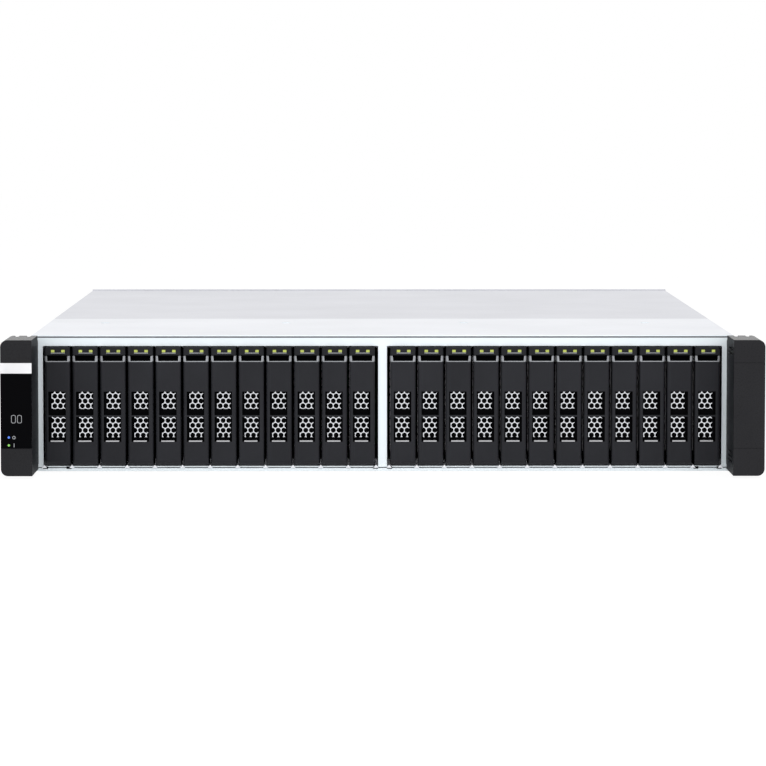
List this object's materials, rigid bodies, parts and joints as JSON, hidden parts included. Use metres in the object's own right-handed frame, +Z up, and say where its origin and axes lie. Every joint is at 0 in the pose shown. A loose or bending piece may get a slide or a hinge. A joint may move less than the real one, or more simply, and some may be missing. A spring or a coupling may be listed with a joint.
{
  "type": "rackmount nas server",
  "caption": "Low rackmount NAS server: upright hot-swap drive trays with pull levers, rack ears, rear controller canisters and power supplies.",
  "frame": {"origin": "under the middle of the unit's bounding box, on the surface it stands on", "axes": "+X to the right seen from the front, +Y to the back, +Z up"},
  "size_m": [0.4826, 0.6226, 0.0889],
  "materials": {
    "galvanised_steel": "fine satin",
    "ear_plastic": "fine grain",
    "gloss_window": "polished",
    "circuit_board": "solder mask",
    "canister_steel": "satin",
    "lever_plastic": "fine grain",
    "tray_metal": "satin"
  },
  "bodies": {
    "chassis": {"chassis": "galvanised_steel", "left_ear": "ear_plastic", "right_ear": "ear_plastic", "display_window": "gloss_window", "midplane": "circuit_board"},
    "top_cover": {"top_cover": "galvanised_steel"},
    "controller_a": {"controller_a": "canister_steel"},
    "controller_lever_a": {"controller_lever_a": "lever_plastic"},
    "power_supply_a": {"power_supply_a": "canister_steel"},
    "controller_b": {"controller_b": "canister_steel"},
    "controller_lever_b": {"controller_lever_b": "lever_plastic"},
    "power_supply_b": {"power_supply_b": "canister_steel"},
    "tray_01": {"tray_01": "tray_metal"},
    "lever_01": {"lever_01": "lever_plastic"},
    "tray_02": {"tray_02": "tray_metal"},
    "lever_02": {"lever_02": "lever_plastic"},
    "tray_03": {"tray_03": "tray_metal"},
    "lever_03": {"lever_03": "lever_plastic"},
    "tray_04": {"tray_04": "tray_metal"},
    "lever_04": {"lever_04": "lever_plastic"},
    "tray_05": {"tray_05": "tray_metal"},
    "lever_05": {"lever_05": "lever_plastic"},
    "tray_06": {"tray_06": "tray_metal"},
    "lever_06": {"lever_06": "lever_plastic"},
    "tray_07": {"tray_07": "tray_metal"},
    "lever_07": {"lever_07": "lever_plastic"},
    "tray_08": {"tray_08": "tray_metal"},
    "lever_08": {"lever_08": "lever_plastic"},
    "tray_09": {"tray_09": "tray_metal"},
    "lever_09": {"lever_09": "lever_plastic"},
    "tray_10": {"tray_10": "tray_metal"},
    "lever_10": {"lever_10": "lever_plastic"},
    "tray_11": {"tray_11": "tray_metal"},
    "lever_11": {"lever_11": "lever_plastic"},
    "tray_12": {"tray_12": "tray_metal"},
    "lever_12": {"lever_12": "lever_plastic"},
    "tray_13": {"tray_13": "tray_metal"},
    "lever_13": {"lever_13": "lever_plastic"},
    "tray_14": {"tray_14": "tray_metal"},
    "lever_14": {"lever_14": "lever_plastic"},
    "tray_15": {"tray_15": "tray_metal"},
    "lever_15": {"lever_15": "lever_plastic"},
    "tray_16": {"tray_16": "tray_metal"},
    "lever_16": {"lever_16": "lever_plastic"},
    "tray_17": {"tray_17": "tray_metal"},
    "lever_17": {"lever_17": "lever_plastic"},
    "tray_18": {"tray_18": "tray_metal"},
    "lever_18": {"lever_18": "lever_plastic"},
    "tray_19": {"tray_19": "tray_metal"},
    "lever_19": {"lever_19": "lever_plastic"},
    "tray_20": {"tray_20": "tray_metal"},
    "lever_20": {"lever_20": "lever_plastic"},
    "tray_21": {"tray_21": "tray_metal"},
    "lever_21": {"lever_21": "lever_plastic"},
    "tray_22": {"tray_22": "tray_metal"},
    "lever_22": {"lever_22": "lever_plastic"},
    "tray_23": {"tray_23": "tray_metal"},
    "lever_23": {"lever_23": "lever_plastic"},
    "tray_24": {"tray_24": "tray_metal"},
    "lever_24": {"lever_24": "lever_plastic"}
  },
  "joints": [
    {"name": "cover_lift", "type": "slide", "parent": "chassis", "child": "top_cover", "axis": [0, 0, 1], "range_m": [0, 0.1]},
    {"name": "controller_a_slide", "type": "slide", "parent": "chassis", "child": "controller_a", "axis": [0, 1, 0], "range_m": [0, 0.34]},
    {"name": "controller_lever_a_turn", "type": "hinge", "parent": "controller_a", "child": "controller_lever_a", "pos_m": [-0.21, 0.29075, 0.0633], "axis": [0, 0, 1], "range_deg": [0, 75]},
    {"name": "power_supply_a_slide", "type": "slide", "parent": "chassis", "child": "power_supply_a", "axis": [0, 1, 0], "range_m": [0, 0.26]},
    {"name": "controller_b_slide", "type": "slide", "parent": "chassis", "child": "controller_b", "axis": [0, 1, 0], "range_m": [0, 0.34]},
    {"name": "controller_lever_b_turn", "type": "hinge", "parent": "controller_b", "child": "controller_lever_b", "pos_m": [-0.21, 0.29075, 0.0215], "axis": [0, 0, 1], "range_deg": [0, 75]},
    {"name": "power_supply_b_slide", "type": "slide", "parent": "chassis", "child": "power_supply_b", "axis": [0, 1, 0], "range_m": [0, 0.26]},
    {"name": "tray_01_slide", "type": "slide", "parent": "chassis", "child": "tray_01", "axis": [0, -1, 0], "range_m": [0, 0.13]},
    {"name": "lever_01_turn", "type": "hinge", "parent": "tray_01", "child": "lever_01", "pos_m": [-0.20895, -0.26175, 0.00775], "axis": [1, 0, 0], "range_deg": [0, 50]},
    {"name": "tray_02_slide", "type": "slide", "parent": "chassis", "child": "tray_02", "axis": [0, -1, 0], "range_m": [0, 0.13]},
    {"name": "lever_02_turn", "type": "hinge", "parent": "tray_02", "child": "lever_02", "pos_m": [-0.19115, -0.26175, 0.00775], "axis": [1, 0, 0], "range_deg": [0, 50]},
    {"name": "tray_03_slide", "type": "slide", "parent": "chassis", "child": "tray_03", "axis": [0, -1, 0], "range_m": [0, 0.13]},
    {"name": "lever_03_turn", "type": "hinge", "parent": "tray_03", "child": "lever_03", "pos_m": [-0.17335, -0.26175, 0.00775], "axis": [1, 0, 0], "range_deg": [0, 50]},
    {"name": "tray_04_slide", "type": "slide", "parent": "chassis", "child": "tray_04", "axis": [0, -1, 0], "range_m": [0, 0.13]},
    {"name": "lever_04_turn", "type": "hinge", "parent": "tray_04", "child": "lever_04", "pos_m": [-0.15555, -0.26175, 0.00775], "axis": [1, 0, 0], "range_deg": [0, 50]},
    {"name": "tray_05_slide", "type": "slide", "parent": "chassis", "child": "tray_05", "axis": [0, -1, 0], "range_m": [0, 0.13]},
    {"name": "lever_05_turn", "type": "hinge", "parent": "tray_05", "child": "lever_05", "pos_m": [-0.13775, -0.26175, 0.00775], "axis": [1, 0, 0], "range_deg": [0, 50]},
    {"name": "tray_06_slide", "type": "slide", "parent": "chassis", "child": "tray_06", "axis": [0, -1, 0], "range_m": [0, 0.13]},
    {"name": "lever_06_turn", "type": "hinge", "parent": "tray_06", "child": "lever_06", "pos_m": [-0.11995, -0.26175, 0.00775], "axis": [1, 0, 0], "range_deg": [0, 50]},
    {"name": "tray_07_slide", "type": "slide", "parent": "chassis", "child": "tray_07", "axis": [0, -1, 0], "range_m": [0, 0.13]},
    {"name": "lever_07_turn", "type": "hinge", "parent": "tray_07", "child": "lever_07", "pos_m": [-0.10215, -0.26175, 0.00775], "axis": [1, 0, 0], "range_deg": [0, 50]},
    {"name": "tray_08_slide", "type": "slide", "parent": "chassis", "child": "tray_08", "axis": [0, -1, 0], "range_m": [0, 0.13]},
    {"name": "lever_08_turn", "type": "hinge", "parent": "tray_08", "child": "lever_08", "pos_m": [-0.08435, -0.26175, 0.00775], "axis": [1, 0, 0], "range_deg": [0, 50]},
    {"name": "tray_09_slide", "type": "slide", "parent": "chassis", "child": "tray_09", "axis": [0, -1, 0], "range_m": [0, 0.13]},
    {"name": "lever_09_turn", "type": "hinge", "parent": "tray_09", "child": "lever_09", "pos_m": [-0.06655, -0.26175, 0.00775], "axis": [1, 0, 0], "range_deg": [0, 50]},
    {"name": "tray_10_slide", "type": "slide", "parent": "chassis", "child": "tray_10", "axis": [0, -1, 0], "range_m": [0, 0.13]},
    {"name": "lever_10_turn", "type": "hinge", "parent": "tray_10", "child": "lever_10", "pos_m": [-0.04875, -0.26175, 0.00775], "axis": [1, 0, 0], "range_deg": [0, 50]},
    {"name": "tray_11_slide", "type": "slide", "parent": "chassis", "child": "tray_11", "axis": [0, -1, 0], "range_m": [0, 0.13]},
    {"name": "lever_11_turn", "type": "hinge", "parent": "tray_11", "child": "lever_11", "pos_m": [-0.03095, -0.26175, 0.00775], "axis": [1, 0, 0], "range_deg": [0, 50]},
    {"name": "tray_12_slide", "type": "slide", "parent": "chassis", "child": "tray_12", "axis": [0, -1, 0], "range_m": [0, 0.13]},
    {"name": "lever_12_turn", "type": "hinge", "parent": "tray_12", "child": "lever_12", "pos_m": [-0.01315, -0.26175, 0.00775], "axis": [1, 0, 0], "range_deg": [0, 50]},
    {"name": "tray_13_slide", "type": "slide", "parent": "chassis", "child": "tray_13", "axis": [0, -1, 0], "range_m": [0, 0.13]},
    {"name": "lever_13_turn", "type": "hinge", "parent": "tray_13", "child": "lever_13", "pos_m": [0.01315, -0.26175, 0.00775], "axis": [1, 0, 0], "range_deg": [0, 50]},
    {"name": "tray_14_slide", "type": "slide", "parent": "chassis", "child": "tray_14", "axis": [0, -1, 0], "range_m": [0, 0.13]},
    {"name": "lever_14_turn", "type": "hinge", "parent": "tray_14", "child": "lever_14", "pos_m": [0.03095, -0.26175, 0.00775], "axis": [1, 0, 0], "range_deg": [0, 50]},
    {"name": "tray_15_slide", "type": "slide", "parent": "chassis", "child": "tray_15", "axis": [0, -1, 0], "range_m": [0, 0.13]},
    {"name": "lever_15_turn", "type": "hinge", "parent": "tray_15", "child": "lever_15", "pos_m": [0.04875, -0.26175, 0.00775], "axis": [1, 0, 0], "range_deg": [0, 50]},
    {"name": "tray_16_slide", "type": "slide", "parent": "chassis", "child": "tray_16", "axis": [0, -1, 0], "range_m": [0, 0.13]},
    {"name": "lever_16_turn", "type": "hinge", "parent": "tray_16", "child": "lever_16", "pos_m": [0.06655, -0.26175, 0.00775], "axis": [1, 0, 0], "range_deg": [0, 50]},
    {"name": "tray_17_slide", "type": "slide", "parent": "chassis", "child": "tray_17", "axis": [0, -1, 0], "range_m": [0, 0.13]},
    {"name": "lever_17_turn", "type": "hinge", "parent": "tray_17", "child": "lever_17", "pos_m": [0.08435, -0.26175, 0.00775], "axis": [1, 0, 0], "range_deg": [0, 50]},
    {"name": "tray_18_slide", "type": "slide", "parent": "chassis", "child": "tray_18", "axis": [0, -1, 0], "range_m": [0, 0.13]},
    {"name": "lever_18_turn", "type": "hinge", "parent": "tray_18", "child": "lever_18", "pos_m": [0.10215, -0.26175, 0.00775], "axis": [1, 0, 0], "range_deg": [0, 50]},
    {"name": "tray_19_slide", "type": "slide", "parent": "chassis", "child": "tray_19", "axis": [0, -1, 0], "range_m": [0, 0.13]},
    {"name": "lever_19_turn", "type": "hinge", "parent": "tray_19", "child": "lever_19", "pos_m": [0.11995, -0.26175, 0.00775], "axis": [1, 0, 0], "range_deg": [0, 50]},
    {"name": "tray_20_slide", "type": "slide", "parent": "chassis", "child": "tray_20", "axis": [0, -1, 0], "range_m": [0, 0.13]},
    {"name": "lever_20_turn", "type": "hinge", "parent": "tray_20", "child": "lever_20", "pos_m": [0.13775, -0.26175, 0.00775], "axis": [1, 0, 0], "range_deg": [0, 50]},
    {"name": "tray_21_slide", "type": "slide", "parent": "chassis", "child": "tray_21", "axis": [0, -1, 0], "range_m": [0, 0.13]},
    {"name": "lever_21_turn", "type": "hinge", "parent": "tray_21", "child": "lever_21", "pos_m": [0.15555, -0.26175, 0.00775], "axis": [1, 0, 0], "range_deg": [0, 50]},
    {"name": "tray_22_slide", "type": "slide", "parent": "chassis", "child": "tray_22", "axis": [0, -1, 0], "range_m": [0, 0.13]},
    {"name": "lever_22_turn", "type": "hinge", "parent": "tray_22", "child": "lever_22", "pos_m": [0.17335, -0.26175, 0.00775], "axis": [1, 0, 0], "range_deg": [0, 50]},
    {"name": "tray_23_slide", "type": "slide", "parent": "chassis", "child": "tray_23", "axis": [0, -1, 0], "range_m": [0, 0.13]},
    {"name": "lever_23_turn", "type": "hinge", "parent": "tray_23", "child": "lever_23", "pos_m": [0.19115, -0.26175, 0.00775], "axis": [1, 0, 0], "range_deg": [0, 50]},
    {"name": "tray_24_slide", "type": "slide", "parent": "chassis", "child": "tray_24", "axis": [0, -1, 0], "range_m": [0, 0.13]},
    {"name": "lever_24_turn", "type": "hinge", "parent": "tray_24", "child": "lever_24", "pos_m": [0.20895, -0.26175, 0.00775], "axis": [1, 0, 0], "range_deg": [0, 50]}
  ]
}
